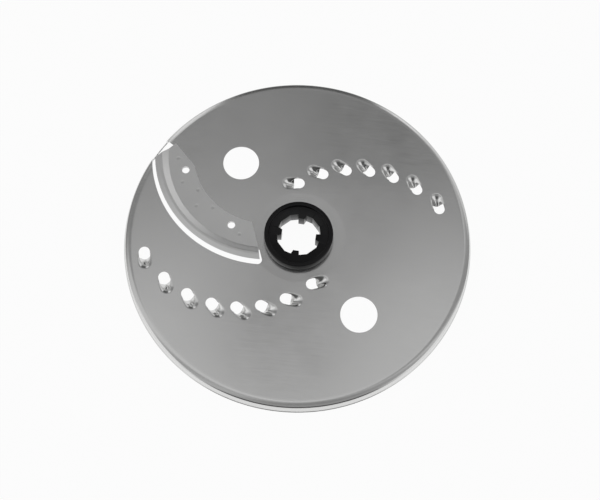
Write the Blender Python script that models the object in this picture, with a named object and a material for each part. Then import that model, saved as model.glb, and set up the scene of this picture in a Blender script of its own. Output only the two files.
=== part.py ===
"""A reversible disc for a food processor, lying with its slicing side up.

Three pieces: a stainless plate pressed from sheet, with a turned-down rim, a curved window, two finger
holes and a spiral of grating scoops that stand out below; a joggled slicing blade welded over the window;
and a moulded hub with a keyed bore, which grips the plate's centre hole. Metres, +Z up. The drive axis is
Z, and the rim's lower edge lies at z = 0.
"""

import math

import bmesh
import bpy
from mathutils import Vector
from mathutils.geometry import delaunay_2d_cdt, intersect_point_tri_2d

MM = 0.001
SEAT_GAP = 0.3 * MM  # between faces that touch on the real disc

# Pressed plate
DISC_RADIUS = 87.9 * MM
SHEET = 0.5 * MM
RIM_BEND = 4.5 * MM  # radius of the top surface where the flat turns down
RIM_SKIRT = 1.2 * MM  # straight wall under the bend
DISH_RADIUS = 23.8 * MM  # shallow cone that sinks towards the hub
DISH_DEPTH = 0.3 * MM
FINGER_HOLE_RADIUS = 9.2 * MM
FINGER_HOLE_ANGLE = math.radians(135.0)  # and half a turn on

# Grating scoops: a pierced hole, with the metal behind it pushed down into a hood
SCOOP_HUB_CLEARANCE = 8.4 * MM  # from the hub to the first scoop's centre
SCOOP_PITCH = 3.69 * MM  # each scoop cuts its own ring of the food
SCOOP_HOLE_RADIUS = 2.75 * MM
SCOOP_LIP_SETBACK = 2.7 * MM  # from the hole's centre to the cutting lip
SCOOP_LENGTH = 9.0 * MM  # from the hole's centre to the closed end
SCOOP_DEPTH = 3.5 * MM  # how far the middle of the lip is pushed down
SCOOP_HEEL_DEPTH = 1.05 * MM  # depth that the floor would still have at the closed end
SCOOP_FLOOR_CURVE = 2.3  # 1 for a floor that rises evenly behind the lip, more for one that rises early
SCOOP_SHOULDER = 0.65 * MM  # how far past the hole's sides the sheet starts to bend
SCOOP_VALLEY = 0.2 * MM  # half width of the hood's floor
SCOOP_RIM_LAND = 3.0 * MM  # flat metal kept between a hole and the rim bend
SCOOP_ARC_ANGLE = math.radians(-25.8)  # towards the centre of the arc that the scoops follow
SCOOP_ARC_OVERRUN = 6.8 * MM  # how far that arc would run past the disc's flat
SCOOP_ARC_UNDERRUN = 3.7 * MM  # and how much nearer to the axis than the first scoop it would come
SCOOP_LIP_SPREAD = 0.9  # width of the straight lip, as a share of the hole's

# Slicing blade: concentric arcs, from the cutting edge inwards
BLADE_ARC_ANGLE = math.radians(117.55)  # towards the centre of the arcs
EDGE_OVERRUN = 18.45 * MM  # how far the edge's arc would run past the disc
EDGE_UNDERRUN = 6.95 * MM  # and how far inside the hub's radius it would pass
BEVEL_WIDTH = 2.35 * MM
CREST_WIDTH = 1.0 * MM  # flat top of the raised strip
JOGGLE_WIDTH = 3.7 * MM  # slope between the raised strip and the welded one
JOGGLE_FILLET = 0.6 * MM  # of that width, the curved part at its foot and again at its crest
SEAT_WIDTH = 12.7 * MM  # the welded strip
BLADE_THICKNESS = 0.7 * MM
BLADE_RISE = 2.05 * MM  # lift of the raised strip over the welded one
BEVEL_DROP = 0.45 * MM
EDGE_THICKNESS = 0.12 * MM
EDGE_RIM_INSET = 3.0 * MM  # outer end of the edge, in from the disc's radius
HEEL_RIM_INSET = 6.3 * MM
HEEL_SETBACK = 2.8 * MM  # the outer back corner, in from the joggle
SHOULDER_LEAD = math.radians(17.3)  # from that corner to where the blade has its full width
BACK_HUB_CLEARANCE = 7.6 * MM  # inner end to hub: at the back, at the joggle and at the edge
JOGGLE_HUB_CLEARANCE = 3.8 * MM
EDGE_HUB_CLEARANCE = 5.9 * MM
JIG_HOLE_RADIUS = 1.92 * MM
JIG_HOLE_INSET = 4.95 * MM  # in from the blade's back
JIG_SHOULDER_LEAD = math.radians(1.8)  # from the shoulder to the outer jig hole
JIG_END_LEAD = math.radians(12.8)  # from the inner one to the blade's inner end
WELD_RADIUS = 1.1 * MM
WELD_DEPTH = 0.08 * MM
WELD_BACK_INSET = 2.6 * MM  # from the blade's back to the nearer row of welds
WELD_ROW_GAP = 5.4 * MM  # and on to the next
# Each weld's row, and its place as a share of the way from the outer jig hole to the inner one.
WELDS = ((1, -0.17), (1, 0.15), (0, 0.33), (1, 0.5), (0, 0.66), (1, 1.14))

# Window in the plate, under the blade
WINDOW_GAP = 1.8 * MM  # slot between the cutting edge and the plate, seen from above
WINDOW_LAND = 1.1 * MM  # plate carried past the joggle's start, under the blade
WINDOW_END_GAP = 0.4 * MM  # past the line of the blade's inner end
WINDOW_LAP = 1.0 * MM  # how far the blade's outer end covers the window's edge
HEEL_LAND = 1.3 * MM  # plate left at the rim beside the blade's heel tip
WINDOW_CORNER = 2.2 * MM
RIM_STRIP = 0.8 * MM  # skirt left whole where the window runs out through the rim

# Moulded hub
HUB_RADIUS = 17.3 * MM
HUB_DRAFT = 0.15 * MM
HUB_RISE = 5.0 * MM  # over the plate's flat, and the same below its underside
HUB_LIP = 2.2 * MM  # width of the raised ring
HUB_RECESS = 1.4 * MM  # depth of the recess inside the ring
HUB_EDGE = 0.5 * MM  # rounding of the ring's outer edge
HUB_INNER_EDGE = 0.3 * MM
HUB_FOOT = 0.4 * MM  # rounding at the foot of the recess
HUB_WALL = 3.2 * MM  # of plastic inside the plate's hole
BORE_RADIUS = 11.2 * MM  # to the corners of the twelve-sided bore
BORE_SIDES = 12
LUG_TIP_RADIUS = 8.6 * MM
LUG_TIP_WIDTH = 2.9 * MM
LUG_LEAD = 0.9 * MM  # how much wider the root is, on the side with the slanted flank
LUG_TRAIL = 0.3 * MM
LUG_COUNT = 4

# Facets
SCOOP_STEPS = 8  # round an end and along the lip
WALL_STEPS = 4  # down the hood's wall
SIDE_STEPS = 2  # along its sides
WINDOW_STEPS = 40
STRIP_STEPS = 6
BLADE_SWEEP_START = math.radians(176.0)
BLADE_SWEEP_END = math.radians(282.0)
RING_STEPS = 96
BEND_STEPS = 6
HUB_STEPS = 64
HOLE_STEPS = 32
SMALL_HOLE_STEPS = 16
BLADE_STEPS = 40
FILLET_STEPS = 2
HUB_EDGE_STEPS = 2
CORNER_STEPS = 5
DIMPLE_STEPS = 12
CUTTER_MARGIN = 2.0 * MM  # how far helpers reach past what they cut
GUARD = 1.2 * MM  # ring of flat metal beside a curved one, which keeps the shading clean
POINT_SPACING = 0.75 * MM  # least distance from a point of the blank to its neighbours

PLATE_TOP = RIM_BEND + RIM_SKIRT
FLAT_RADIUS = DISC_RADIUS - RIM_BEND
BLANK_RADIUS = FLAT_RADIUS + RIM_BEND * math.pi / 2 + RIM_SKIRT
PLATE_HOLE_RADIUS = BORE_RADIUS + HUB_WALL + SEAT_GAP
FINGER_HOLE_PITCH_RADIUS = (HUB_RADIUS + FLAT_RADIUS) / 2

SCOOP_HOOD_RADIUS = SCOOP_HOLE_RADIUS + SCOOP_SHOULDER
SCOOP_FIRST_RADIUS = HUB_RADIUS + SCOOP_HUB_CLEARANCE
SCOOP_ARC_FAR = FLAT_RADIUS + SCOOP_ARC_OVERRUN
SCOOP_ARC_NEAR = SCOOP_FIRST_RADIUS - SCOOP_ARC_UNDERRUN
SCOOP_ARC_RADIUS = (SCOOP_ARC_FAR + SCOOP_ARC_NEAR) / 2
SCOOP_ARC_OFFSET = (SCOOP_ARC_FAR - SCOOP_ARC_NEAR) / 2

EDGE_FAR = DISC_RADIUS + EDGE_OVERRUN
EDGE_NEAR = HUB_RADIUS - EDGE_UNDERRUN
BLADE_ARC_OFFSET = (EDGE_FAR - EDGE_NEAR) / 2
EDGE_RADIUS = (EDGE_FAR + EDGE_NEAR) / 2
BEVEL_START_RADIUS = EDGE_RADIUS - BEVEL_WIDTH
JOGGLE_END_RADIUS = BEVEL_START_RADIUS - CREST_WIDTH
JOGGLE_START_RADIUS = JOGGLE_END_RADIUS - JOGGLE_WIDTH
BLADE_HEEL_RADIUS = JOGGLE_START_RADIUS - HEEL_SETBACK
BLADE_BACK_RADIUS = JOGGLE_START_RADIUS - SEAT_WIDTH
BLADE_TOP = PLATE_TOP + SEAT_GAP + BLADE_THICKNESS


def polar(radius, angle):
    """The point at this distance and angle from the drive axis."""
    return Vector((radius * math.cos(angle), radius * math.sin(angle)))


BLADE_CENTRE = polar(BLADE_ARC_OFFSET, BLADE_ARC_ANGLE)


def blade_point(radius, angle):
    """The point at this distance and angle from the centre of the blade's arcs."""
    return BLADE_CENTRE + polar(radius, angle)


def arc(centre, radius, start, end, steps):
    """Points along an arc, with both ends."""
    return [centre + polar(radius, start + (end - start) * i / steps) for i in range(steps + 1)]


def circle(centre, radius, steps):
    """Points round a whole circle, counter-clockwise."""
    return arc(centre, radius, 0.0, math.tau, steps)[:-1]


def blade_angle_at(arc_radius, axis_radius):
    """The angle about the blade's centre at which one of its arcs is this far from the drive axis."""
    share = (axis_radius**2 - BLADE_ARC_OFFSET**2 - arc_radius**2) / (2 * BLADE_ARC_OFFSET * arc_radius)
    return BLADE_ARC_ANGLE + math.acos(share)


def blade_angle_on_line(arc_radius, point, normal, side):
    """The angle at which one of the blade's arcs meets the line through a point, square to normal."""
    swing = math.acos((point - BLADE_CENTRE).dot(normal) / arc_radius)
    return math.atan2(normal.y, normal.x) % math.tau + side * swing


def rounded(points, radii, steps):
    """A closed outline with its corners rounded: one radius for each corner, 0 for a sharp one."""
    outline = []
    for i, (corner, radius) in enumerate(zip(points, radii)):
        if radius == 0:
            outline.append(corner)
            continue
        before = (points[i - 1] - corner).normalized()
        after = (points[(i + 1) % len(points)] - corner).normalized()
        half = before.angle(after) / 2
        centre = corner + (before + after).normalized() * (radius / math.sin(half))
        start = corner + before * (radius / math.tan(half)) - centre
        end = corner + after * (radius / math.tan(half)) - centre
        for step in range(steps + 1):
            outline.append(centre + start.lerp(end, step / steps).normalized() * radius)
    return outline


def inside(point, loop):
    """Whether a point lies in a closed loop."""
    odd = False
    for a, b in zip(loop, loop[1:] + loop[:1]):
        if (a.y > point.y) != (b.y > point.y):
            if point.x < a.x + (b.x - a.x) * (point.y - a.y) / (b.y - a.y):
                odd = not odd
    return odd


def smoothstep(value):
    """0 below 0, 1 above 1 and a smooth rise between."""
    value = max(0.0, min(1.0, value))
    return value * value * (3 - 2 * value)


def crossing(start, way, other, other_way):
    """Where two lines meet, each given by a point and a direction."""
    return start + way * ((other - start).cross(other_way) / way.cross(other_way))


# The blade's outline, seen from above


def blade_corners():
    """The corners of the blade's ends: the edge's tip, the heel's tip and the back shoulder near the
    rim, then the three points of the inner end, from the back to the edge."""
    tip = blade_point(EDGE_RADIUS, blade_angle_at(EDGE_RADIUS, DISC_RADIUS - EDGE_RIM_INSET))
    heel_angle = blade_angle_at(BLADE_HEEL_RADIUS, DISC_RADIUS - HEEL_RIM_INSET)
    heel = blade_point(BLADE_HEEL_RADIUS, heel_angle)
    shoulder = blade_point(BLADE_BACK_RADIUS, heel_angle + SHOULDER_LEAD)
    inner_end = []
    for radius, clearance in (
        (BLADE_BACK_RADIUS, BACK_HUB_CLEARANCE),
        (JOGGLE_START_RADIUS, JOGGLE_HUB_CLEARANCE),
        (EDGE_RADIUS, EDGE_HUB_CLEARANCE),
    ):
        inner_end.append(blade_point(radius, blade_angle_at(radius, HUB_RADIUS + clearance)))
    return tip, heel, shoulder, inner_end


def blade_angle_of(point):
    """The angle of a point about the blade's centre, from 0 to a whole turn."""
    offset = point - BLADE_CENTRE
    return math.atan2(offset.y, offset.x) % math.tau


def jig_angles():
    """The angles of the two jig holes, the outer one first."""
    _, _, shoulder, inner_end = blade_corners()
    return blade_angle_of(shoulder) + JIG_SHOULDER_LEAD, blade_angle_of(inner_end[0]) - JIG_END_LEAD


def jig_holes():
    """The outlines of the two jig holes, which go through the blade and the plate."""
    radius = BLADE_BACK_RADIUS + JIG_HOLE_INSET
    return [circle(blade_point(radius, a), JIG_HOLE_RADIUS, SMALL_HOLE_STEPS) for a in jig_angles()]


def weld_points():
    """Where the spot welds are: in two rows, between the jig holes and just past them."""
    outer, inner = jig_angles()
    places = []
    for row, share in WELDS:
        radius = BLADE_BACK_RADIUS + WELD_BACK_INSET + WELD_ROW_GAP * row
        places.append(blade_point(radius, outer + (inner - outer) * share))
    return places


# The plate's blank: the flat sheet before it is pressed, with its radius measured along the top surface


def bend_radii():
    """The blank's radii at the lines of the rim bend."""
    return [FLAT_RADIUS + RIM_BEND * math.pi / 2 * i / BEND_STEPS for i in range(BEND_STEPS + 1)]


def plan_radius(blank_radius):
    """How far from the axis a point of the blank is once the rim has been turned down."""
    lean = max(0.0, min((blank_radius - FLAT_RADIUS) / RIM_BEND, math.pi / 2))
    return min(blank_radius, FLAT_RADIUS) + RIM_BEND * math.sin(lean)


def window_loop():
    """The window, in the blank: along the cutting edge and out through the rim bend, along the strip of
    skirt that stays whole, back in under the blade's outer end, and under the blade to its inner end."""
    tip, heel, _, inner_end = blade_corners()
    outer = EDGE_RADIUS + WINDOW_GAP
    inner = JOGGLE_START_RADIUS + WINDOW_LAND
    end_way = (inner_end[1] - inner_end[0]).normalized()
    end_normal = Vector((-end_way.y, end_way.x))
    end_point = inner_end[1] + end_normal * WINDOW_END_GAP
    heel_way = (heel - tip).normalized()
    heel_normal = Vector((-heel_way.y, heel_way.x))
    heel_point = heel - heel_normal * WINDOW_LAP
    strip = BLANK_RADIUS - RIM_STRIP
    cut_angle = math.atan2(heel.y, heel.x) + HEEL_LAND / heel.length

    corner_angle = blade_angle_on_line(outer, end_point, end_normal, -1) + math.tau
    corner = blade_point(outer, corner_angle)
    start = corner_angle - 2 * WINDOW_CORNER / outer
    finish = blade_angle_at(outer, FLAT_RADIUS)
    outline = [corner] + arc(BLADE_CENTRE, outer, start, finish, WINDOW_STEPS)
    for radius in bend_radii()[1:]:
        plan = blade_point(outer, blade_angle_at(outer, plan_radius(radius)))
        outline.append(plan.normalized() * radius)
    strip_angle = math.atan2(plan.y, plan.x)
    outline += arc(Vector((0, 0)), strip, strip_angle, cut_angle, STRIP_STEPS)
    outline += [polar(radius, cut_angle) for radius in reversed(bend_radii())]
    outline.append(crossing(Vector((0, 0)), polar(1.0, cut_angle), heel_point, heel_way))
    start = blade_angle_on_line(inner, heel_point, heel_normal, 1)
    finish = blade_angle_on_line(inner, end_point, end_normal, -1) + math.tau
    outline += arc(BLADE_CENTRE, inner, start, finish, WINDOW_STEPS)
    return rounded(outline, [WINDOW_CORNER] + [0] * (len(outline) - 1), CORNER_STEPS)


class Scoop:
    """One grating tooth: along runs from the hole to the closed end, and across is square to it."""

    def __init__(self, radius, side):
        share = (radius**2 + SCOOP_ARC_OFFSET**2 - SCOOP_ARC_RADIUS**2) / (2 * radius * SCOOP_ARC_OFFSET)
        angle = SCOOP_ARC_ANGLE + math.acos(share) + math.pi * side
        self.centre = polar(radius, angle)
        self.along = polar(1.0, angle + math.pi / 2)
        self.across = polar(1.0, angle)

    def place(self, along, across):
        """The point of the blank at this distance along and across the tooth."""
        return self.centre + self.along * along + self.across * across

    def loop(self):
        """The hole's outline: a half circle, straight sides and the lip."""
        quarter = math.pi / 2
        lip = SCOOP_HOLE_RADIUS * SCOOP_LIP_SPREAD
        round_end = arc(Vector((0, 0)), SCOOP_HOLE_RADIUS, quarter, 3 * quarter, SCOOP_STEPS)
        outline = [self.place(p.x, p.y) for p in round_end]
        outline.append(self.place(SCOOP_LIP_SETBACK / 2, -SCOOP_HOLE_RADIUS))
        for step in range(SCOOP_STEPS + 1):
            outline.append(self.place(SCOOP_LIP_SETBACK, lip * (2 * step / SCOOP_STEPS - 1)))
        outline.append(self.place(SCOOP_LIP_SETBACK / 2, SCOOP_HOLE_RADIUS))
        return outline

    def contours(self):
        """Points on level lines of the hood, from the flat metal round it down to its floor."""
        heel = SCOOP_LENGTH - SCOOP_HOOD_RADIUS
        points = []
        for level in range(-1, WALL_STEPS + 1):
            radius = SCOOP_HOOD_RADIUS + (SCOOP_VALLEY - SCOOP_HOOD_RADIUS) * level / WALL_STEPS
            turn = arc(Vector((heel, 0)), radius, -math.pi / 2, math.pi / 2, SCOOP_STEPS)
            points += [self.place(p.x, p.y) for p in turn]
            first = 0.0 if radius > SCOOP_HOLE_RADIUS else SCOOP_LIP_SETBACK
            for step in range(SIDE_STEPS):
                along = first + (heel - first) * step / SIDE_STEPS
                points += [self.place(along, side * radius) for side in (-1, 1)]
        for step in range(1, SIDE_STEPS + 1):
            along = SCOOP_LIP_SETBACK + (heel - SCOOP_LIP_SETBACK) * step / SIDE_STEPS
            points.append(self.place(along, 0.0))
        return points

    def depth(self, plan):
        """How far the press pushes the sheet down at a point."""
        along = (plan - self.centre).dot(self.along)
        across = (plan - self.centre).dot(self.across)
        beyond = max(0.0, along - SCOOP_LENGTH + SCOOP_HOOD_RADIUS)
        from_edge = SCOOP_HOOD_RADIUS - math.hypot(beyond, across)
        wall = smoothstep(from_edge / (SCOOP_HOOD_RADIUS - SCOOP_VALLEY))
        if along < SCOOP_LIP_SETBACK:
            return wall * SCOOP_DEPTH * smoothstep(along / SCOOP_LIP_SETBACK)
        left = max(0.0, (SCOOP_LENGTH - along) / (SCOOP_LENGTH - SCOOP_LIP_SETBACK))
        floor = SCOOP_HEEL_DEPTH + (SCOOP_DEPTH - SCOOP_HEEL_DEPTH) * left**SCOOP_FLOOR_CURVE
        return wall * floor


def scoops():
    """The scoops, from the hub outwards, one pitch apart and in turn on either side of the disc."""
    room = FLAT_RADIUS - SCOOP_RIM_LAND - SCOOP_HOLE_RADIUS - SCOOP_FIRST_RADIUS
    count = int(room / SCOOP_PITCH) + 1
    return [Scoop(SCOOP_FIRST_RADIUS + SCOOP_PITCH * n, (n + 1) % 2) for n in range(count)]


def near(point, others, distance):
    """Whether any other point is closer than this."""
    return any(
        abs(point.x - q.x) < distance and abs(point.y - q.y) < distance and (point - q).length < distance
        for q in others
    )


def pressed(blank, teeth):
    """Where a point of the blank goes: turned down at the rim, sunk at the hub and at the scoops."""
    radius = blank.length
    plan = blank
    drop = 0.0
    if radius > FLAT_RADIUS:
        lean = min((radius - FLAT_RADIUS) / RIM_BEND, math.pi / 2)
        below = max(0.0, radius - FLAT_RADIUS - RIM_BEND * math.pi / 2)
        plan = blank * ((FLAT_RADIUS + RIM_BEND * math.sin(lean)) / radius)
        drop = RIM_BEND * (1 - math.cos(lean)) + below
    if radius < DISH_RADIUS:
        drop += DISH_DEPTH * min(1.0, (DISH_RADIUS - radius) / (DISH_RADIUS - HUB_RADIUS))
    for tooth in teeth:
        if (tooth.centre - blank).length < SCOOP_LENGTH:
            drop += tooth.depth(blank)
    return Vector((plan.x, plan.y, PLATE_TOP - drop))


def finish(name, mesh_source, colour, roughness, metallic, sharp=math.radians(35)):
    """An object from a bmesh, shaded smooth between its sharp edges, in its own material."""
    mesh = bpy.data.meshes.new(name)
    mesh_source.to_mesh(mesh)
    mesh_source.free()
    mesh.shade_smooth()
    mesh.set_sharp_from_angle(angle=sharp)
    obj = bpy.data.objects.new(name, mesh)
    bpy.context.scene.collection.objects.link(obj)
    material = bpy.data.materials.new(name + "_finish")
    material.use_nodes = True
    shader = material.node_tree.nodes["Principled BSDF"]
    shader.inputs["Base Color"].default_value = (*colour, 1.0)
    shader.inputs["Roughness"].default_value = roughness
    shader.inputs["Metallic"].default_value = metallic
    mesh.materials.append(material)
    return obj


def cut_with(target, cutter, operation):
    """A Boolean on the target."""
    modifier = target.modifiers.new(cutter.name, "BOOLEAN")
    modifier.operation = operation
    modifier.solver = "EXACT"
    modifier.object = cutter


def helper(name, shape):
    """A cutter or trimming solid from a bmesh, hidden in renders."""
    bmesh.ops.recalc_face_normals(shape, faces=shape.faces[:])
    mesh = bpy.data.meshes.new(name)
    shape.to_mesh(mesh)
    shape.free()
    obj = bpy.data.objects.new(name, mesh)
    obj.hide_render = True
    obj.display_type = "WIRE"
    bpy.context.scene.collection.objects.link(obj)
    return obj


def prism(name, outline):
    """A helper solid that fills a plan outline, from below the disc to above it."""
    shape = bmesh.new()
    face = shape.faces.new([shape.verts.new((p.x, p.y, -CUTTER_MARGIN)) for p in outline])
    raised = bmesh.ops.extrude_face_region(shape, geom=[face])
    corners = [v for v in raised["geom"] if isinstance(v, bmesh.types.BMVert)]
    height = PLATE_TOP + HUB_RISE + 2 * CUTTER_MARGIN
    bmesh.ops.translate(shape, verts=corners, vec=(0, 0, height))
    return helper(name, shape)


def turned(profile, centre, start, angle, steps):
    """A bmesh of a closed profile, given as distance and height, swept about a vertical axis."""
    shape = bmesh.new()
    way = polar(1.0, start)
    verts = [
        shape.verts.new((centre.x + way.x * p.x, centre.y + way.y * p.x, p.y)) for p in profile
    ]
    edges = [shape.edges.new((a, b)) for a, b in zip(verts, verts[1:] + verts[:1])]
    whole = abs(angle - math.tau) < 1e-6
    bmesh.ops.spin(
        shape,
        geom=verts + edges,
        cent=(centre.x, centre.y, 0),
        axis=(0, 0, 1),
        angle=angle,
        steps=steps,
        use_merge=whole,
    )
    if not whole:
        bmesh.ops.holes_fill(shape, edges=[e for e in shape.edges if e.is_boundary], sides=0)
    bmesh.ops.recalc_face_normals(shape, faces=shape.faces[:])
    return shape


def make_plate():
    """The blank is cut flat with all its holes, pressed to shape and given its thickness."""
    teeth = scoops()
    origin = Vector((0, 0))
    outer = circle(origin, BLANK_RADIUS, RING_STEPS)
    holes = [circle(origin, PLATE_HOLE_RADIUS, HUB_STEPS)]
    for half_turn in (0, math.pi):
        centre = polar(FINGER_HOLE_PITCH_RADIUS, FINGER_HOLE_ANGLE + half_turn)
        holes.append(circle(centre, FINGER_HOLE_RADIUS, HOLE_STEPS))
    holes += jig_holes()
    holes.append(window_loop())
    holes += [tooth.loop() for tooth in teeth]

    points = []
    edges = []
    for loop in [outer] + holes:
        first = len(points)
        points += loop
        edges += [(first + i, first + (i + 1) % len(loop)) for i in range(len(loop))]
    for tooth in teeth:
        points += [p for p in tooth.contours() if not near(p, points, POINT_SPACING / 2)]
    for radius in [FLAT_RADIUS - GUARD] + bend_radii():
        ring = circle(origin, radius, RING_STEPS)
        points += [p for p in ring if not near(p, points, POINT_SPACING)]
    for radius in (HUB_RADIUS, DISH_RADIUS, DISH_RADIUS + GUARD):
        ring = circle(origin, radius, HUB_STEPS)
        points += [p for p in ring if not near(p, points, POINT_SPACING)]

    flat, _, faces, _, _, _ = delaunay_2d_cdt(points, edges, [], 0, 1e-8)
    shape = bmesh.new()
    verts = [shape.verts.new(pressed(Vector(p), teeth)) for p in flat]
    for face in faces:
        middle = sum((flat[i] for i in face), Vector((0, 0))) / len(face)
        if inside(middle, outer) and not any(inside(middle, hole) for hole in holes):
            shape.faces.new([verts[i] for i in face])
    bmesh.ops.delete(shape, geom=[v for v in shape.verts if not v.link_faces], context="VERTS")
    plate = finish("disc_plate", shape, (0.68, 0.68, 0.675), 0.3, 1.0)
    thickness = plate.modifiers.new("sheet", "SOLIDIFY")
    thickness.thickness = SHEET
    thickness.offset = -1.0
    return plate


def make_blade():
    """The blade's section swept about its centre, trimmed to its outline, with its jig holes and the
    dimples that the spot welds leave."""
    profile = [Vector((BLADE_BACK_RADIUS, BLADE_TOP))]
    slope = BLADE_RISE / (JOGGLE_WIDTH - JOGGLE_FILLET)
    foot = []
    for i in range(FILLET_STEPS + 1):
        distance = JOGGLE_FILLET * i / FILLET_STEPS
        foot.append(Vector((distance, slope * distance**2 / (2 * JOGGLE_FILLET))))
    rise = foot + [Vector((JOGGLE_WIDTH, BLADE_RISE)) - p for p in reversed(foot)]
    joggle = [Vector((JOGGLE_START_RADIUS, BLADE_TOP)) + p for p in rise]
    crest = BLADE_TOP + BLADE_RISE
    profile += joggle
    profile.append(Vector((BEVEL_START_RADIUS, crest)))
    profile.append(Vector((EDGE_RADIUS, crest - BEVEL_DROP)))
    profile.append(Vector((EDGE_RADIUS, crest - BEVEL_DROP - EDGE_THICKNESS)))
    profile += [p - Vector((0, BLADE_THICKNESS)) for p in reversed(joggle)]
    profile.append(Vector((BLADE_BACK_RADIUS, BLADE_TOP - BLADE_THICKNESS)))

    sweep = BLADE_SWEEP_END - BLADE_SWEEP_START
    shape = turned(profile, BLADE_CENTRE, BLADE_SWEEP_START, sweep, BLADE_STEPS)
    blade = finish("slicing_blade", shape, (0.74, 0.74, 0.735), 0.28, 1.0, math.radians(20))

    tip, heel, shoulder, inner_end = blade_corners()
    past_tip = tip + (tip - heel).normalized() * CUTTER_MARGIN
    past_edge = inner_end[2] + (inner_end[2] - inner_end[1]).normalized() * CUTTER_MARGIN
    outline = [past_tip, heel, shoulder, BLADE_CENTRE] + inner_end + [past_edge]
    beyond = EDGE_RADIUS * 1.2
    outline += arc(BLADE_CENTRE, beyond, BLADE_SWEEP_END, BLADE_SWEEP_START, CORNER_STEPS)
    cut_with(blade, prism("blade_outline", outline), "INTERSECT")
    for number, ring in enumerate(jig_holes()):
        cut_with(blade, prism(f"jig_hole_{number}", ring), "DIFFERENCE")
    cut_with(blade, dimples(weld_points()), "DIFFERENCE")
    return blade


def dimples(places):
    """A helper with the cap of a ball for each spot weld."""
    ball = (WELD_RADIUS**2 + WELD_DEPTH**2) / (2 * WELD_DEPTH)
    shape = bmesh.new()
    for place in places:
        rings = []
        for radius in (WELD_RADIUS / 2, WELD_RADIUS):
            height = BLADE_TOP - WELD_DEPTH + ball - math.sqrt(ball**2 - radius**2)
            rings.append([shape.verts.new((p.x, p.y, height)) for p in circle(place, radius, DIMPLE_STEPS)])
        rings.append([shape.verts.new((v.co.x, v.co.y, BLADE_TOP + WELD_DEPTH)) for v in rings[-1]])
        shape.faces.new(rings[0])
        shape.faces.new(rings[-1])
        for low, high in zip(rings, rings[1:]):
            for i in range(DIMPLE_STEPS):
                shape.faces.new((low[i - 1], low[i], high[i], high[i - 1]))
    return helper("weld_dimples", shape)


def make_hub():
    """The hub's section turned about the axis, with a groove for the plate, then bored to its key."""
    groove_top = PLATE_TOP - DISH_DEPTH + SEAT_GAP
    groove_bottom = PLATE_TOP - DISH_DEPTH - SHEET - SEAT_GAP
    top = PLATE_TOP + HUB_RISE
    bottom = PLATE_TOP - SHEET - HUB_RISE
    recess = HUB_RADIUS - HUB_LIP
    blank_bore = LUG_TIP_RADIUS / 2
    foot = HUB_RADIUS + HUB_DRAFT
    corners = (
        (blank_bore, bottom + HUB_RECESS, 0),
        (recess, bottom + HUB_RECESS, HUB_FOOT),
        (recess, bottom, HUB_INNER_EDGE),
        (HUB_RADIUS, bottom, HUB_EDGE),
        (foot, groove_bottom, 0),
        (BORE_RADIUS + HUB_WALL, groove_bottom, 0),
        (BORE_RADIUS + HUB_WALL, groove_top, 0),
        (foot, groove_top, 0),
        (HUB_RADIUS, top, HUB_EDGE),
        (recess, top, HUB_INNER_EDGE),
        (recess, top - HUB_RECESS, HUB_FOOT),
        (blank_bore, top - HUB_RECESS, 0),
    )
    profile = rounded([Vector(c[:2]) for c in corners], [c[2] for c in corners], HUB_EDGE_STEPS)
    shape = turned(profile, Vector((0, 0)), 0.0, math.tau, HUB_STEPS)
    hub = finish("hub", shape, (0.012, 0.012, 0.013), 0.22, 0.0)
    cut_with(hub, prism("keyed_bore", keyed_bore()), "DIFFERENCE")
    return hub


def keyed_bore():
    """The bore's outline seen from above: a polygon whose corners give way to the lugs."""
    side = math.tau / BORE_SIDES
    flat = BORE_RADIUS * math.cos(side / 2)
    turn = math.tau / LUG_COUNT
    outline = []
    for lug in range(LUG_COUNT):
        along = polar(1.0, turn * lug)
        across = polar(1.0, turn * lug + math.pi / 2)
        half = LUG_TIP_WIDTH / 2
        # The lug interrupts the two flats that meet on its own line.
        for tip_side, root_side in ((-half, -half - LUG_LEAD), (half, half + LUG_TRAIL)):
            depth = (flat - abs(root_side) * math.sin(side / 2)) / math.cos(side / 2)
            root = along * depth + across * root_side
            tip = along * LUG_TIP_RADIUS + across * tip_side
            outline += [root, tip] if tip_side < 0 else [tip, root]
        for corner in range(1, round(turn / side)):
            outline.append(polar(BORE_RADIUS, turn * lug + side * corner))
    return outline


def main():
    for old in list(bpy.data.objects):
        bpy.data.objects.remove(old, do_unlink=True)
    make_plate()
    make_blade()
    make_hub()


main()
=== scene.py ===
"""Dresses the reversible slicing and grating disc and lights it as the photograph was lit.

The plate, the slicing blade and the hub are each made again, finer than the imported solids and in
the same place, and get procedural finishes: rolled sheet, ground strip and moulded black plastic.
Lengths are in metres, the drive axis is Z, and the disc's slicing side is up.
"""

import logging
import math
from dataclasses import dataclass, field
from enum import Enum

import bmesh
import bpy
from mathutils import Matrix, Vector
from mathutils.geometry import delaunay_2d_cdt


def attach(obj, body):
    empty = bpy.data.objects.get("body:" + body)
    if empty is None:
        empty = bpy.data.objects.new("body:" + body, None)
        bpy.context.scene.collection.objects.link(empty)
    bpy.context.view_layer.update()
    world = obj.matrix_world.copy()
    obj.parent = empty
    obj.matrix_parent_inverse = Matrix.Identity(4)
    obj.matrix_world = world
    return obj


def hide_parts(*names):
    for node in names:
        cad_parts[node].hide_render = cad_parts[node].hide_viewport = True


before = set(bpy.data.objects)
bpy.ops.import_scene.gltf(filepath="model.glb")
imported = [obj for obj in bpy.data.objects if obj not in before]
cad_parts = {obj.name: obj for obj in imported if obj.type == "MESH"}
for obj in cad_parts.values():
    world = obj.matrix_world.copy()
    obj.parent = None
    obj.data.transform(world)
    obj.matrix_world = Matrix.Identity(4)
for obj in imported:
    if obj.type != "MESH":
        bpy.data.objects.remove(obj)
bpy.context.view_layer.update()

log = logging.getLogger("disc_scene")

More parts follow.
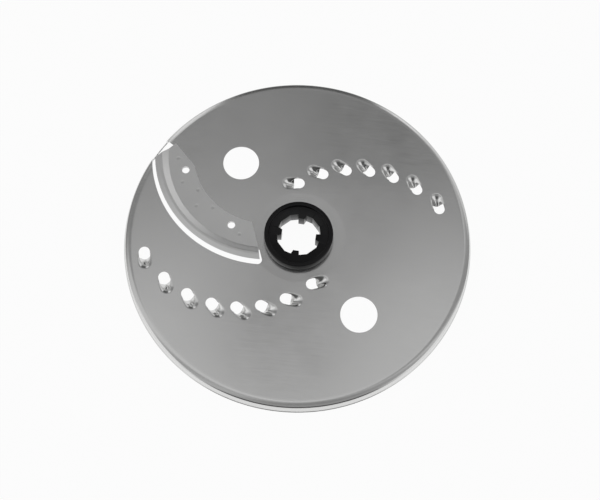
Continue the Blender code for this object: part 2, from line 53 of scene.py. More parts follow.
MM = 0.001
ORIGIN = Vector((0.0, 0.0))
CLEAR = 2.0 * MM
TURN_SLACK = 1e-6
BEND_SLACK = 1e-9
ZENITH = 90.0
NUMBER_RESULTS = ("DOT_PRODUCT", "DISTANCE")


def polar(radius: float, angle: float) -> Vector:
    """The plan point at this distance and angle from the drive axis."""
    return Vector((radius * math.cos(angle), radius * math.sin(angle)))


def arc(centre: Vector, radius: float, start: float, end: float, steps: int) -> list[Vector]:
    """Points along an arc, with both ends.

    Args:
        centre: plan point that the arc turns about.
        radius: its radius.
        start: the angle where it starts.
        end: the angle where it ends.
        steps: how many chords it gets.

    Returns:
        The plan points, one more than the chords.
    """
    return [centre + polar(radius, start + (end - start) * i / steps) for i in range(steps + 1)]


def circle(centre: Vector, radius: float, steps: int) -> list[Vector]:
    """Plan points round a whole circle, counter-clockwise."""
    return arc(centre, radius, 0.0, math.tau, steps)[:-1]


def counter_clockwise(outline: list[Vector]) -> list[Vector]:
    """The outline's points in counter-clockwise order."""
    area = sum(a.cross(b) for a, b in zip(outline, outline[1:] + outline[:1]))
    return outline if area > 0 else outline[::-1]


def smoothstep(value: float) -> float:
    """0 below 0, 1 above 1 and a smooth rise between."""
    value = max(0.0, min(1.0, value))
    return value * value * (3 - 2 * value)


def crossing(start: Vector, way: Vector, other: Vector, other_way: Vector) -> Vector:
    """The plan point where two lines meet, each given by a point and a direction."""
    return start + way * ((other - start).cross(other_way) / way.cross(other_way))


def rounded(points: list[Vector], radii: list[float], steps: int) -> list[Vector]:
    """Rounds the corners of a closed outline.

    Args:
        points: the corners in order.
        radii: one radius for each corner, 0 for a sharp one.
        steps: chords in each rounding.

    Returns:
        The outline's points.
    """
    outline: list[Vector] = []
    for i, (corner, radius) in enumerate(zip(points, radii)):
        if radius == 0:
            outline.append(corner)
            continue
        before = (points[i - 1] - corner).normalized()
        after = (points[(i + 1) % len(points)] - corner).normalized()
        half = before.angle(after) / 2
        centre = corner + (before + after).normalized() * (radius / math.sin(half))
        start = corner + before * (radius / math.tan(half)) - centre
        end = corner + after * (radius / math.tan(half)) - centre
        for step in range(steps + 1):
            outline.append(centre + start.lerp(end, step / steps).normalized() * radius)
    return outline


def settle(piece: bpy.types.Object, sharp_angle: float) -> bpy.types.Object:
    """Applies a piece's modifiers and shades it smooth between its sharp edges.

    Args:
        piece: the object with its modifiers.
        sharp_angle: edges that turn by more than this stay sharp.

    Returns:
        The same object.
    """
    bpy.context.view_layer.update()
    graph = bpy.context.evaluated_depsgraph_get()
    mesh = bpy.data.meshes.new_from_object(piece.evaluated_get(graph))
    piece.modifiers.clear()
    piece.data = mesh
    mesh.shade_smooth()
    mesh.set_sharp_from_angle(angle=sharp_angle)
    return piece


def object_from(name: str, shape: bmesh.types.BMesh) -> bpy.types.Object:
    """Turns a bmesh into an object of the scene and frees it.

    Args:
        name: the object's name and its mesh's.
        shape: the mesh, which can't be used again.

    Returns:
        The object.
    """
    mesh = bpy.data.meshes.new(name)
    shape.to_mesh(mesh)
    shape.free()
    piece = bpy.data.objects.new(name, mesh)
    bpy.context.scene.collection.objects.link(piece)
    return piece


def turned(
    profile: list[Vector], centre: Vector, start: float, sweep: float, steps: int
) -> bmesh.types.BMesh:
    """Sweeps a closed profile about a vertical axis.

    Args:
        profile: its corners, as distance from the axis and height.
        centre: the axis in plan.
        start: the angle of the first section.
        sweep: how far it turns.
        steps: sections on the way.

    Returns:
        A closed bmesh with its faces turned outwards.
    """
    shape = bmesh.new()
    way = polar(1.0, start)
    verts = [shape.verts.new((*(centre + way * p.x), p.y)) for p in profile]
    edges = [shape.edges.new((a, b)) for a, b in zip(verts, verts[1:] + verts[:1])]
    whole = abs(sweep - math.tau) < TURN_SLACK
    bmesh.ops.spin(
        shape,
        geom=verts + edges,
        cent=(centre.x, centre.y, 0),
        axis=(0, 0, 1),
        angle=sweep,
        steps=steps,
        use_merge=whole,
    )
    if not whole:
        bmesh.ops.holes_fill(shape, edges=[e for e in shape.edges if e.is_boundary], sides=0)
    bmesh.ops.recalc_face_normals(shape, faces=shape.faces[:])
    return shape


class Operation(Enum):
    """What a cutter does to its target."""

    KEEP_INSIDE = "INTERSECT"
    CUT_AWAY = "DIFFERENCE"


@dataclass
class Cutter:
    """A prism or other closed helper that shapes a piece and is then thrown away."""

    name: str
    shape: bmesh.types.BMesh
    smooth_angle: float = math.radians(30.0)

    @classmethod
    def prism(cls, name: str, outline: list[Vector], bottom: float, top: float) -> "Cutter":
        """Makes a cutter that fills a plan outline between two heights.

        Args:
            name: what the helper is called.
            outline: its plan points.
            bottom: height of its lower side.
            top: height of its upper side.

        Returns:
            The cutter.
        """
        shape = bmesh.new()
        face = shape.faces.new([shape.verts.new((p.x, p.y, bottom)) for p in outline])
        raised = bmesh.ops.extrude_face_region(shape, geom=[face])
        corners = [v for v in raised["geom"] if isinstance(v, bmesh.types.BMVert)]
        bmesh.ops.translate(shape, verts=corners, vec=(0, 0, top - bottom))
        return cls(name, shape)

    def use_on(self, target: bpy.types.Object, operation: Operation) -> None:
        """Cuts the target and removes the helper.

        Args:
            target: the piece to cut.
            operation: whether what lies inside the cutter stays or goes.
        """
        bmesh.ops.recalc_face_normals(self.shape, faces=self.shape.faces[:])
        helper = object_from(self.name, self.shape)
        modifier = target.modifiers.new(self.name, "BOOLEAN")
        modifier.operation = operation.value
        modifier.solver = "EXACT"
        modifier.object = helper
        settle(target, self.smooth_angle)
        bpy.data.objects.remove(helper, do_unlink=True)


class PointGrid:
    """Keeps plan points apart: it takes a point only where no other is too close."""

    def __init__(self, spacing: float) -> None:
        """Starts empty.

        Args:
            spacing: size of the cells, and the most that an offered point may ask for.
        """
        self.spacing = spacing
        self.points: list[Vector] = []
        self._cells: dict[tuple[int, int], list[Vector]] = {}

    def _cell(self, point: Vector) -> tuple[int, int]:
        """The cell that a point lies in."""
        return math.floor(point.x / self.spacing), math.floor(point.y / self.spacing)

    def take(self, point: Vector) -> None:
        """Takes a point as it is."""
        self.points.append(point)
        self._cells.setdefault(self._cell(point), []).append(point)

    def offer(self, point: Vector, distance: float) -> None:
        """Takes a point if no other is too close.

        Args:
            point: the new point.
            distance: how far every other point has to be, at most the spacing.
        """
        column, row = self._cell(point)
        for i in range(column - 1, column + 2):
            for j in range(row - 1, row + 2):
                for other in self._cells.get((i, j), ()):
                    if (other - point).length < distance:
                        return
        self.take(point)


@dataclass(frozen=True)
class BladePlan:
    """The plan that the blade and the plate's window share: concentric arcs and two cut ends."""

    centre_angle: float = math.radians(117.55)
    centre_offset: float = 47.975 * MM
    edge: float = 58.375 * MM
    bevel_width: float = 2.35 * MM
    crest_width: float = 1.0 * MM
    joggle_width: float = 3.7 * MM
    joggle_fillet: float = 0.6 * MM
    seat_width: float = 12.7 * MM
    heel_setback: float = 2.8 * MM
    disc_radius: float = 87.9 * MM
    hub_radius: float = 17.3 * MM
    edge_rim_inset: float = 3.0 * MM
    heel_rim_inset: float = 6.3 * MM
    shoulder_lead: float = math.radians(17.3)
    end_clearances: tuple[float, float, float] = (7.6 * MM, 3.8 * MM, 5.9 * MM)
    jig_radius: float = 1.92 * MM
    jig_inset: float = 4.95 * MM
    jig_leads: tuple[float, float] = (math.radians(1.8), math.radians(12.8))
    jig_steps: int = 40
    weld_inset: float = 2.6 * MM
    weld_row_gap: float = 5.4 * MM
    welds: tuple[tuple[int, float], ...] = (
        (1, -0.17),
        (1, 0.15),
        (0, 0.33),
        (1, 0.5),
        (0, 0.66),
        (1, 1.14),
    )

    @property
    def centre(self) -> Vector:
        """The centre of the arcs."""
        return polar(self.centre_offset, self.centre_angle)

    @property
    def bevel_start(self) -> float:
        """Radius where the ground bevel starts."""
        return self.edge - self.bevel_width

    @property
    def joggle_end(self) -> float:
        """Radius where the slope reaches the raised strip."""
        return self.bevel_start - self.crest_width

    @property
    def joggle_start(self) -> float:
        """Radius where the slope leaves the welded strip."""
        return self.joggle_end - self.joggle_width

    @property
    def back(self) -> float:
        """Radius of the welded strip's back."""
        return self.joggle_start - self.seat_width

    @property
    def heel(self) -> float:
        """Radius of the outer back corner."""
        return self.joggle_start - self.heel_setback

    def point(self, radius: float, angle: float) -> Vector:
        """The plan point at this distance and angle from the arcs' centre."""
        return self.centre + polar(radius, angle)

    def angle_at(self, arc_radius: float, axis_radius: float) -> float:
        """The angle at which one of the arcs is this far from the drive axis."""
        share = axis_radius**2 - self.centre_offset**2 - arc_radius**2
        return self.centre_angle + math.acos(share / (2 * self.centre_offset * arc_radius))

    def angle_on_line(self, arc_radius: float, point: Vector, normal: Vector, side: int) -> float:
        """The angle at which an arc meets the line through a point, square to normal.

        Args:
            arc_radius: which arc.
            point: a point of the line.
            normal: unit vector square to the line.
            side: 1 or -1, for one or the other of the two places.

        Returns:
            The angle about the arcs' centre.
        """
        swing = math.acos((point - self.centre).dot(normal) / arc_radius)
        return math.atan2(normal.y, normal.x) % math.tau + side * swing

    def corners(self) -> tuple[Vector, Vector, Vector, list[Vector]]:
        """Finds the blade's corners.

        Returns:
            The edge's tip, the heel's tip and the shoulder near the rim, and the inner end's points.
        """
        tip_angle = self.angle_at(self.edge, self.disc_radius - self.edge_rim_inset)
        tip = self.point(self.edge, tip_angle)
        heel_angle = self.angle_at(self.heel, self.disc_radius - self.heel_rim_inset)
        heel = self.point(self.heel, heel_angle)
        shoulder = self.point(self.back, heel_angle + self.shoulder_lead)
        inner_end = []
        radii = (self.back, self.joggle_start, self.edge)
        for radius, clearance in zip(radii, self.end_clearances):
            angle = self.angle_at(radius, self.hub_radius + clearance)
            inner_end.append(self.point(radius, angle))
        return tip, heel, shoulder, inner_end

    def angle_of(self, point: Vector) -> float:
        """The angle of a point about the arcs' centre, from 0 to a whole turn."""
        offset = point - self.centre
        return math.atan2(offset.y, offset.x) % math.tau

    def jig_angles(self) -> tuple[float, float]:
        """Finds where the two jig holes are.

        Returns:
            Their angles about the arcs' centre, the outer one first.
        """
        _, _, shoulder, inner_end = self.corners()
        outer = self.angle_of(shoulder) + self.jig_leads[0]
        inner = self.angle_of(inner_end[0]) - self.jig_leads[1]
        return outer, inner

    def jig_holes(self) -> list[list[Vector]]:
        """The outlines of the two jig holes, which go through the blade and the plate."""
        centres = [self.point(self.back + self.jig_inset, angle) for angle in self.jig_angles()]
        return [circle(centre, self.jig_radius, self.jig_steps) for centre in centres]

    def weld_points(self) -> list[Vector]:
        """Finds where the spot welds are, in two rows.

        Returns:
            Their plan points.
        """
        outer, inner = self.jig_angles()
        places = []
        for row, share in self.welds:
            radius = self.back + self.weld_inset + self.weld_row_gap * row
            places.append(self.point(radius, outer + (inner - outer) * share))
        return places


@dataclass(frozen=True)
class ToothForm:
    """The form that every grating tooth shares: a hole, and a hood with a bell-shaped section."""

    hole_radius: float = 2.75 * MM
    lip_setback: float = 2.7 * MM
    lip_spread: float = 0.9
    length: float = 9.0 * MM
    lip_depth: float = 3.5 * MM
    heel_depth: float = 1.05 * MM
    floor_curve: float = 2.3
    shoulder: float = 0.65 * MM
    valley: float = 0.2 * MM
    round_steps: int = 24
    wall_steps: int = 18
    side_steps: int = 14

    @property
    def hood_radius(self) -> float:
        """Half width of the hood where its shoulder leaves the flat."""
        return self.hole_radius + self.shoulder

    @property
    def heel(self) -> float:
        """Where the rounded closed end starts, from the hole's centre."""
        return self.length - self.hood_radius

    def wall(self, distance: float) -> float:
        """The share of the full depth at a distance from the hood's middle line."""
        return smoothstep((self.hood_radius - distance) / (self.hood_radius - self.valley))

    def floor(self, along: float) -> float:
        """Finds the hood's full depth.

        Args:
            along: distance from the hole's centre towards the closed end.

        Returns:
            How far the hood's middle line lies below the flat.
        """
        if along < self.lip_setback:
            return self.lip_depth * smoothstep(along / self.lip_setback)
        left = max(0.0, (self.length - along) / (self.length - self.lip_setback))
        return self.heel_depth + (self.lip_depth - self.heel_depth) * left**self.floor_curve


@dataclass
class GratingTooth:
    """One pressed tooth: a pierced hole, and the metal behind it pushed down into a hood."""

    centre: Vector
    angle: float
    form: ToothForm

    @property
    def along(self) -> Vector:
        """The way from the hole to the closed end."""
        return polar(1.0, self.angle + math.pi / 2)

    @property
    def across(self) -> Vector:
        """The way square to the tooth, away from the drive axis."""
        return polar(1.0, self.angle)

    def place(self, along: float, across: float) -> Vector:
        """The point of the blank at this distance along and across the tooth."""
        return self.centre + self.along * along + self.across * across

    def loop(self) -> list[Vector]:
        """Draws the hole's outline: a half circle, straight sides and the lip.

        Returns:
            Its plan points in the blank.
        """
        form = self.form
        quarter = math.pi / 2
        outline = []
        for p in arc(ORIGIN, form.hole_radius, quarter, 3 * quarter, form.round_steps):
            outline.append(self.place(p.x, p.y))
        steps = form.side_steps // 2
        side = [form.lip_setback * step / (steps + 1) for step in range(1, steps + 1)]
        outline += [self.place(along, -form.hole_radius) for along in side]
        lip = form.hole_radius * form.lip_spread
        for step in range(form.round_steps + 1):
            outline.append(self.place(form.lip_setback, lip * (2 * step / form.round_steps - 1)))
        return outline + [self.place(along, form.hole_radius) for along in reversed(side)]

    def contours(self) -> list[Vector]:
        """Spreads points on level lines of the hood, from the flat round it down to its floor.

        Returns:
            Plan points in the blank.
        """
        form = self.form
        points = []
        for level in range(-2, form.wall_steps + 1):
            radius = form.hood_radius + (form.valley - form.hood_radius) * level / form.wall_steps
            for p in arc(ORIGIN, radius, -math.pi / 2, math.pi / 2, form.round_steps):
                points.append(self.place(form.heel + p.x, p.y))
            first = 0.0 if radius > form.hole_radius else form.lip_setback
            for step in range(form.side_steps):
                along = first + (form.heel - first) * step / form.side_steps
                points += [self.place(along, side * radius) for side in (-1, 1)]
        for step in range(1, form.side_steps + 1):
            along = form.lip_setback + (form.heel - form.lip_setback) * step / form.side_steps
            points.append(self.place(along, 0.0))
        return points

    def depth(self, plan: Vector) -> float:
        """Finds how far the press pushes the sheet down.

        Args:
            plan: a point of the blank.

        Returns:
            The depth there, 0 outside the hood.
        """
        form = self.form
        along = (plan - self.centre).dot(self.along)
        across = (plan - self.centre).dot(self.across)
        return form.wall(math.hypot(max(0.0, along - form.heel), across)) * form.floor(along)


@dataclass(frozen=True)
class Pattern:
    """A noise texture's scale, its detail and how strong its finest layers are."""

    scale: float
    detail: float
    roughness: float = 0.5


class NodeSheet:
    """Writes a material's or a world's shader nodes."""

    def __init__(self, owner: bpy.types.ID) -> None:
        """Switches the nodes on and clears them.

        Args:
            owner: the material or the world.
        """
        owner.use_nodes = True
        self.tree = owner.node_tree
        self.tree.nodes.clear()

    def add(self, kind: str, settings: dict | None = None, **inputs: object) -> bpy.types.Node:
        """Adds a node.

        Args:
            kind: the node's type, without the leading ShaderNode.
            settings: attributes of the node itself.
            inputs: values or output sockets for its inputs, by name with _ for a space.

        Returns:
            The node.
        """
        node = self.tree.nodes.new("ShaderNode" + kind)
        for key, value in (settings or {}).items():
            setattr(node, key, value)
        for key, value in inputs.items():
            self.join(value, node.inputs[key.replace("_", " ")])
        return node

    def join(self, value: object, socket: bpy.types.NodeSocket) -> None:
        """Feeds an input.

        Args:
            value: an output socket to link, or a plain value to set.
            socket: the input.
        """
        if isinstance(value, bpy.types.NodeSocket):
            self.tree.links.new(value, socket)
        else:
            socket.default_value = value

    def math(self, operation: str, *values: object, kind: str = "Math") -> bpy.types.NodeSocket:
        """Adds a Math or VectorMath node.

        Args:
            operation: what it does.
            values: values or sockets for its inputs, in order.
            kind: the node's type.

        Returns:
            Its result, a number or a vector.
        """
        node = self.add(kind, {"operation": operation})
        for value, socket in zip(values, node.inputs):
            self.join(value, socket)
        return node.outputs["Value" if kind == "Math" or operation in NUMBER_RESULTS else "Vector"]

    def vector(self, operation: str, *values: object) -> bpy.types.NodeSocket:
        """The result of a VectorMath node on these values or sockets."""
        return self.math(operation, *values, kind="VectorMath")

    def noise(self, where: bpy.types.NodeSocket, pattern: Pattern) -> bpy.types.NodeSocket:
        """The value of a noise texture, from 0 to 1."""
        form = {"Scale": pattern.scale, "Detail": pattern.detail, "Roughness": pattern.roughness}
        return self.add("TexNoise", None, Vector=where, **form).outputs["Fac"]

    def blend(self, share: object, first: object, second: object) -> bpy.types.NodeSocket:
        """A mix of two numbers, all the first at share 0 and all the second at 1."""
        node = self.add("Mix", {"data_type": "FLOAT"}, Factor=share, A=first, B=second)
        return node.outputs["Result"]

    def step(
        self, value: object, start: float, end: float, low: float = 0.0, high: float = 1.0
    ) -> bpy.types.NodeSocket:
        """Adds a soft step.

        Args:
            value: the socket that it follows.
            start: the value at which it is low.
            end: the value at which it is high, which may be less than the start.
            low: what it gives at the start.
            high: what it gives at the end.

        Returns:
            The step's socket.
        """
        if start > end:
            start, end, low, high = end, start, high, low
        ends = {"From_Min": start, "From_Max": end, "To_Min": low, "To_Max": high}
        node = self.add("MapRange", {"interpolation_type": "SMOOTHSTEP"}, Value=value, **ends)
        return node.outputs["Result"]

    def tone(
        self, share: object, tint: tuple[float, float, float], span: tuple[float, float]
    ) -> bpy.types.NodeSocket:
        """A tint times a number between the ends of the span, as the share goes from 0 to 1."""
        ends = [(*(min(1.0, c * factor) for c in tint), 1.0) for factor in span]
        return self.add("MixRGB", None, Fac=share, Color1=ends[0], Color2=ends[1]).outputs[0]


@dataclass(frozen=True)
class SteelFinish:
    """Stainless steel with a fine grain, faint blotches and, where asked, painted shade spots at the
    weld dimples.
    """

    name: str
    tint: tuple[float, float, float]
    roughness: float
    grain_depth: float
    grain_across: float
    grain_along: float
    grain_angle: float = 0.0
    grain: Pattern = Pattern(1.0, 3.0)
    blotches: Pattern = Pattern(55.0, 4.0, 0.6)
    specks: Pattern = Pattern(900.0, 2.0)
    blotch_share: float = 0.55
    tone_span: tuple[float, float] = (0.94, 1.05)
    grain_dulling: float = 0.10
    blotch_dulling: float = 0.09
    speck_dulling: float = 0.03
    # Centres of painted shade spots: the colour is darkened round them, standing in for the weld
    # dimples' dark reflection.
    weld_shade_spots: tuple[Vector, ...] = ()
    weld_shade_radius: float = 1.1 * MM
    weld_shade_core: float = 0.35
    weld_shade_tone: float = 0.86

    def make(self) -> bpy.types.Material:
        """Builds the node material.

        Returns:
            The material.
        """
        material = bpy.data.materials.new(self.name)
        sheet = NodeSheet(material)
        coords = sheet.add("TexCoord").outputs["Object"]
        turn = sheet.add("Mapping", None, Vector=coords, Rotation=(0.0, 0.0, self.grain_angle))
        scale = (self.grain_along, self.grain_across, self.grain_across)
        scaled = sheet.add("Mapping", None, Vector=turn.outputs[0], Scale=scale)
        grain = sheet.noise(scaled.outputs[0], self.grain)
        blotches = sheet.noise(coords, self.blotches)
        specks = sheet.noise(coords, self.specks)

        rough = self.roughness - (self.grain_dulling + self.blotch_dulling + self.speck_dulling) / 2
        for pattern, dulling in (
            (grain, self.grain_dulling),
            (blotches, self.blotch_dulling),
            (specks, self.speck_dulling),
        ):
            rough = sheet.math("ADD", sheet.math("MULTIPLY", pattern, dulling), rough)
        tone = sheet.tone(sheet.blend(self.blotch_share, grain, blotches), self.tint, self.tone_span)
        bump = sheet.add("Bump", None, Height=grain, Distance=self.grain_depth, Strength=1.0)
        shader = sheet.add(
            "BsdfPrincipled",
            None,
            Base_Color=self.painted_weld_shade(sheet, coords, tone),
            Metallic=1.0,
            Roughness=rough,
            Normal=bump.outputs[0],
        )
        sheet.add("OutputMaterial", None, Surface=shader.outputs[0])
        return material

    def painted_weld_shade(
        self, sheet: NodeSheet, coords: bpy.types.NodeSocket, tone: bpy.types.NodeSocket
    ) -> bpy.types.NodeSocket:
        """Paints shade into the steel's colour: soft round darker spots at the weld dimples, in
        place of their dark reflection.

        Args:
            sheet: the material's nodes.
            coords: the object's coordinates.
            tone: the colour of the steel without the painted shade.

        Returns:
            The colour with the painted shade spots in it.
        """
        core = self.weld_shade_radius * self.weld_shade_core
        # Each weld spot multiplies in painted shade, darker towards its centre.
        for weld_shade_centre in self.weld_shade_spots:
            away = sheet.vector("DISTANCE", coords, weld_shade_centre)
            spot = sheet.step(away, core, self.weld_shade_radius, self.weld_shade_tone, 1.0)
            mixed = {"Fac": 1.0, "Color1": tone, "Color2": spot}
            tone = sheet.add("MixRGB", {"blend_type": "MULTIPLY"}, **mixed).outputs[0]
        return tone


@dataclass(frozen=True)
class PlasticFinish:
    """Black moulded plastic: glossy, with a faint moulding texture and fine scuffs."""

    name: str
    tint: tuple[float, float, float]
    roughness: float
    roughness_swing: tuple[float, float] = (-0.08, 0.12)
    tone_span: tuple[float, float] = (0.8, 1.35)
    skin: Pattern = Pattern(1400.0, 3.0)
    skin_depth: float = 0.01 * MM
    scuffs: Pattern = Pattern(160.0, 6.0, 0.7)
    refraction: float = 1.52
    sheen_level: float = 0.22

    def make(self) -> bpy.types.Material:
        """Builds the node material.

        Returns:
            The material.
        """
        material = bpy.data.materials.new(self.name)
        sheet = NodeSheet(material)
        coords = sheet.add("TexCoord").outputs["Object"]
        skin = sheet.noise(coords, self.skin)
        scuffs = sheet.noise(coords, self.scuffs)
        bump = sheet.add("Bump", None, Height=skin, Distance=self.skin_depth, Strength=1.0)
        shader = sheet.add(
            "BsdfPrincipled",
            None,
            Base_Color=sheet.tone(scuffs, self.tint, self.tone_span),
            Roughness=sheet.blend(scuffs, *(self.roughness + d for d in self.roughness_swing)),
            IOR=self.refraction,
            Specular_IOR_Level=self.sheen_level,
            Normal=bump.outputs[0],
        )
        sheet.add("OutputMaterial", None, Surface=shader.outputs[0])
        return material


@dataclass(frozen=True)
class RimForm:
    """The turned-down rim's section: a soft roll, a tight bend, a steep skirt and a flared edge."""

    run: float = 4.5 * MM
    height: float = 5.7 * MM
    sheet: float = 0.5 * MM
    roll_lean: float = math.radians(21.0)
    bend: float = 1.3 * MM
    skirt_lean: float = math.radians(82.0)
    flare_bend: float = 0.2 * MM
    flare_lean: float = math.radians(46.0)
    flare: float = 0.45 * MM
    chords: tuple[int, ...] = (10, 12, 3, 4, 1)

    def segments(self) -> list[tuple[float, float, float]]:
        """Lays the section out so that it ends at the rim's radius and lower edge.

        Returns:
            Its segments in order, each as its length and its lean at either end.
        """
        bend = self.bend * (self.skirt_lean - self.roll_lean)
        turn = self.flare_bend * (self.skirt_lean - self.flare_lean)
        fixed = [
            (bend, self.roll_lean, self.skirt_lean),
            (turn, self.skirt_lean, self.flare_lean),
            (self.flare, self.flare_lean, self.flare_lean),
        ]
        run = self.run
        drop = self.height - self.sheet * math.cos(self.flare_lean)
        for segment in fixed:
            out, down = self.step(segment, segment[0])
            run -= out
            drop -= down
        roll_run, roll_drop = math.sin(self.roll_lean), 1 - math.cos(self.roll_lean)
        skirt_run, skirt_drop = math.cos(self.skirt_lean), math.sin(self.skirt_lean)
        scale = roll_run * skirt_drop - roll_drop * skirt_run
        roll = (run * skirt_drop - drop * skirt_run) / scale
        skirt = (roll_run * drop - roll_drop * run) / scale
        return [
            (roll * self.roll_lean, 0.0, self.roll_lean),
            fixed[0],
            (skirt, self.skirt_lean, self.skirt_lean),
            *fixed[1:],
        ]

    @staticmethod
    def step(segment: tuple[float, float, float], along: float) -> tuple[float, float]:
        """Follows a segment over its first part.

        Args:
            segment: its length and its lean at either end.
            along: how much of its length.

        Returns:
            How far out and down that leads.
        """
        length, start, finish = segment
        lean = start + (finish - start) * along / length
        if abs(lean - start) < BEND_SLACK:
            return along * math.cos(start), along * math.sin(start)
        radius = along / (lean - start)
        down = math.cos(start) - math.cos(lean)
        return radius * (math.sin(lean) - math.sin(start)), radius * down

    def length(self) -> float:
        """Length of the section along its outer side."""
        return sum(segment[0] for segment in self.segments())

    def lines(self) -> list[float]:
        """Spaces the mesh's rings.

        Returns:
            Their distances along the section, from the flat outwards.
        """
        past = 0.0
        found = [0.0]
        for (length, _, _), steps in zip(self.segments(), self.chords):
            found += [past + length * (i + 1) / steps for i in range(steps)]
            past += length
        return found

    def place(self, past: float) -> tuple[float, float]:
        """Finds a place on the outer side.

        Args:
            past: distance along the section.

        Returns:
            How far out and down the place is.
        """
        run = 0.0
        drop = 0.0
        for segment in self.segments():
            along = max(0.0, min(past, segment[0]))
            out, down = self.step(segment, along) if along > 0.0 else (0.0, 0.0)
            run += out
            drop += down
            past -= segment[0]
        return run, drop


@dataclass
class DiscPlate:
    """The pressed sheet: turned-down rim, dish, window, finger holes and grating teeth."""

    plan: BladePlan
    tooth_form: ToothForm
    radius: float = 87.9 * MM
    sheet: float = 0.5 * MM
    rim: RimForm = RimForm()
    dish_radius: float = 23.8 * MM
    dish_depth: float = 0.3 * MM
    hub_radius: float = 17.3 * MM
    centre_hole: float = 14.7 * MM
    finger_hole_radius: float = 9.2 * MM
    finger_hole_angle: float = math.radians(135.0)
    tooth_first: float = 25.7 * MM
    tooth_pitch: float = 3.69 * MM
    tooth_rim_land: float = 3.0 * MM
    tooth_arc_angle: float = math.radians(-25.8)
    tooth_arc_overrun: float = 6.8 * MM
    tooth_arc_underrun: float = 3.7 * MM
    window_gap: float = 1.8 * MM
    window_land: float = 1.1 * MM
    window_end_gap: float = 0.4 * MM
    window_lap: float = 1.0 * MM
    heel_land: float = 1.3 * MM
    window_corner: float = 2.2 * MM
    rim_strip: float = 0.8 * MM
    ring_steps: int = 288
    hub_steps: int = 160
    finger_steps: int = 128
    window_steps: int = 140
    strip_steps: int = 24
    corner_steps: int = 12
    grid_cell: float = 1.0 * MM
    spacing: float = 0.30 * MM
    tooth_density: int = 2
    rim_density: int = 6
    rim_ring_inset: float = 1.0 * MM
    dish_ring_spread: float = 0.5 * MM
    merge_distance: float = 1e-8
    smooth_angle: float = math.radians(35.0)
    piece: bpy.types.Object | None = field(default=None, repr=False)

    @property
    def top(self) -> float:
        """Height of the flat's upper side."""
        return self.rim.height

    @property
    def flat_radius(self) -> float:
        """Radius at which the flat starts to turn down."""
        return self.radius - self.rim.run

    @property
    def blank_radius(self) -> float:
        """Radius of the sheet before it is pressed, measured along the top surface."""
        return self.flat_radius + self.rim.length()

    def bend_radii(self) -> list[float]:
        """The blank's radii at the lines of the rim bend."""
        return [self.flat_radius + line for line in self.rim.lines()]

    def plan_radius(self, blank_radius: float) -> float:
        """How far from the axis a point of the blank is once the rim has been turned down."""
        past = blank_radius - self.flat_radius
        return min(blank_radius, self.flat_radius) + self.rim.place(past)[0]

    def teeth(self) -> list[GratingTooth]:
        """Places the teeth, in turn on either side of the disc.

        Returns:
            The teeth, from the hub outwards.
        """
        far = self.flat_radius + self.tooth_arc_overrun
        close = self.tooth_first - self.tooth_arc_underrun
        arc_radius = (far + close) / 2
        offset = (far - close) / 2
        room = self.flat_radius - self.tooth_rim_land - self.tooth_form.hole_radius
        room -= self.tooth_first
        teeth = []
        for number in range(int(room / self.tooth_pitch) + 1):
            radius = self.tooth_first + self.tooth_pitch * number
            share = (radius**2 + offset**2 - arc_radius**2) / (2 * radius * offset)
            half_turn = math.pi * ((number + 1) % 2)
            angle = self.tooth_arc_angle + math.acos(share) + half_turn
            teeth.append(GratingTooth(polar(radius, angle), angle, self.tooth_form))
        return teeth

    def window(self) -> list[Vector]:
        """Draws the window: along the blade's edge, out through the rim, and back under the blade.

        Returns:
            Its outline in the blank.
        """
        plan = self.plan
        tip, heel, _, inner_end = plan.corners()
        outer = plan.edge + self.window_gap
        inner = plan.joggle_start + self.window_land
        end_way = (inner_end[1] - inner_end[0]).normalized()
        end_normal = Vector((-end_way.y, end_way.x))
        end_point = inner_end[1] + end_normal * self.window_end_gap
        heel_way = (heel - tip).normalized()
        heel_normal = Vector((-heel_way.y, heel_way.x))
        heel_point = heel - heel_normal * self.window_lap
        strip = self.blank_radius - self.rim_strip
        cut_angle = math.atan2(heel.y, heel.x) + self.heel_land / heel.length

        corner_angle = plan.angle_on_line(outer, end_point, end_normal, -1) + math.tau
        corner = plan.point(outer, corner_angle)
        start = corner_angle - 2 * self.window_corner / outer
        finish = plan.angle_at(outer, self.flat_radius)
        outline = [corner] + arc(plan.centre, outer, start, finish, self.window_steps)
        last = corner
        for radius in self.bend_radii()[1:]:
            last = plan.point(outer, plan.angle_at(outer, self.plan_radius(radius)))
            outline.append(last.normalized() * radius)
        outline += arc(ORIGIN, strip, math.atan2(last.y, last.x), cut_angle, self.strip_steps)
        outline += [polar(radius, cut_angle) for radius in reversed(self.bend_radii())]
        outline.append(crossing(ORIGIN, polar(1.0, cut_angle), heel_point, heel_way))
        start = plan.angle_on_line(inner, heel_point, heel_normal, 1)
        finish = plan.angle_on_line(inner, end_point, end_normal, -1) + math.tau
        outline += arc(plan.centre, inner, start, finish, self.window_steps)
        radii = [self.window_corner] + [0.0] * (len(outline) - 1)
        return rounded(outline, radii, self.corner_steps)

    def pressed(self, blank: Vector, teeth: list[GratingTooth]) -> Vector:
        """Where a point of the blank goes when the sheet is pressed.

        Args:
            blank: the point of the flat sheet.
            teeth: the grating teeth.

        Returns:
            The point of the plate's upper side.
        """
        radius = blank.length
        plan = blank
        drop = 0.0
        if radius > self.flat_radius:
            run, drop = self.rim.place(radius - self.flat_radius)
            plan = blank * ((self.flat_radius + run) / radius)
        if radius < self.dish_radius:
            run = (self.dish_radius - radius) / (self.dish_radius - self.hub_radius)
            drop += self.dish_depth * min(1.0, run)
        for tooth in teeth:
            if (tooth.centre - blank).length < self.tooth_form.length:
                drop += tooth.depth(blank)
        return Vector((plan.x, plan.y, self.top - drop))

